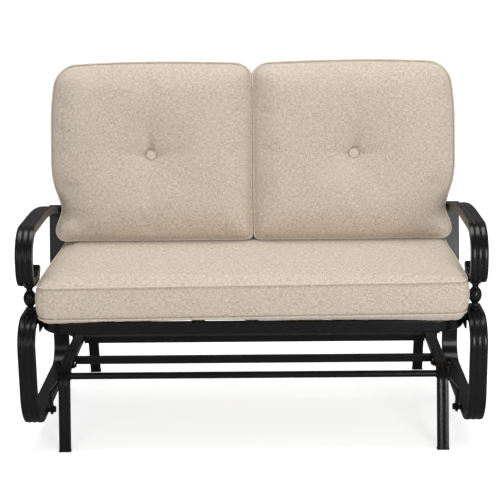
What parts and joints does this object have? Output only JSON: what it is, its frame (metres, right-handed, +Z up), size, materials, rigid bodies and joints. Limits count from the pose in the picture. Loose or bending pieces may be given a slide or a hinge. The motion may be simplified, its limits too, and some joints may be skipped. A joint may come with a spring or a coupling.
{
  "type": "glider bench",
  "caption": "Two-seat porch glider bench with bent tube sides, hanger links, a box seat cushion and tufted back cushions.",
  "frame": {"origin": "on the floor, under the middle of the whole bench", "axes": "+X to the right as seen from in front, along the seat; +Y from front to back; +Z up"},
  "size_m": [1.2, 0.6928, 0.9621],
  "materials": {
    "powder_coat": "semi-gloss black powder coat",
    "hardware": "blackened steel",
    "black_plastic": "matte black plastic",
    "fabric": "heathered beige woven fabric"
  },
  "bodies": {
    "base": {"base_foot_plugs": "black_plastic", "base_front_hanger_tube": "powder_coat", "base_front_stretcher": "powder_coat", "base_rear_hanger_tube": "powder_coat", "base_rear_stretcher": "powder_coat", "base_side_left": "powder_coat", "base_side_right": "powder_coat", "upper_pivot_bolts": "hardware", "upper_pivot_nuts": "hardware", "upper_pivot_spacers": "hardware"},
    "link_front_left": {"link_front_left": "powder_coat", "link_front_left_bushings": "black_plastic"},
    "link_front_right": {"link_front_right": "powder_coat", "link_front_right_bushings": "black_plastic"},
    "link_rear_left": {"link_rear_left": "powder_coat", "link_rear_left_bushings": "black_plastic"},
    "link_rear_right": {"link_rear_right": "powder_coat", "link_rear_right_bushings": "black_plastic"},
    "seat": {"arm_bolts": "hardware", "arm_end_plates": "powder_coat", "arm_end_plugs": "black_plastic", "arm_left": "powder_coat", "arm_right": "powder_coat", "back_buttons": "fabric", "back_cushion_left": "fabric", "back_cushion_right": "fabric", "back_low_rail": "powder_coat", "back_slats": "powder_coat", "back_top_rail": "powder_coat", "band_end_plugs": "black_plastic", "lower_pivot_bolts": "hardware", "lower_pivot_inserts": "hardware", "lower_pivot_spacers": "hardware", "post_end_plugs": "black_plastic", "post_inserts": "hardware", "seat_bracket_left": "powder_coat", "seat_bracket_nuts": "hardware", "seat_bracket_right": "powder_coat", "seat_cushion": "fabric", "seat_rail": "powder_coat", "seat_rail_bolts": "hardware", "seat_rail_spacers": "hardware", "seat_rear_rail": "powder_coat", "seat_slats": "powder_coat", "side_band_left": "powder_coat", "side_band_right": "powder_coat", "spindle_bolts": "hardware", "spindle_left": "powder_coat", "spindle_nuts": "hardware", "spindle_right": "powder_coat"}
  },
  "joints": [
    {"name": "seat_level", "type": "hinge", "parent": "link_rear_left", "child": "seat", "pos_m": [-0.546, 0.085, 0.083], "axis": [1, 0, 0], "range_deg": [-20, 20]},
    {"name": "front_left_link_swing", "type": "hinge", "parent": "base", "child": "link_front_left", "pos_m": [-0.5225, -0.195, 0.207], "axis": [1, 0, 0], "range_deg": [-20, 20]},
    {"name": "front_right_link_swing", "type": "hinge", "parent": "base", "child": "link_front_right", "pos_m": [0.5225, -0.195, 0.207], "axis": [1, 0, 0], "range_deg": [-20, 20]},
    {"name": "rear_left_link_swing", "type": "hinge", "parent": "base", "child": "link_rear_left", "pos_m": [-0.5225, 0.085, 0.207], "axis": [1, 0, 0], "range_deg": [-20, 20]},
    {"name": "rear_right_link_swing", "type": "hinge", "parent": "base", "child": "link_rear_right", "pos_m": [0.5225, 0.085, 0.207], "axis": [1, 0, 0], "range_deg": [-20, 20]}
  ],
  "couplings": [
    {"joint": "front_left_link_swing", "follows": "seat_level", "ratio": -1},
    {"joint": "front_right_link_swing", "follows": "seat_level", "ratio": -1},
    {"joint": "rear_left_link_swing", "follows": "seat_level", "ratio": -1},
    {"joint": "rear_right_link_swing", "follows": "seat_level", "ratio": -1}
  ]
}
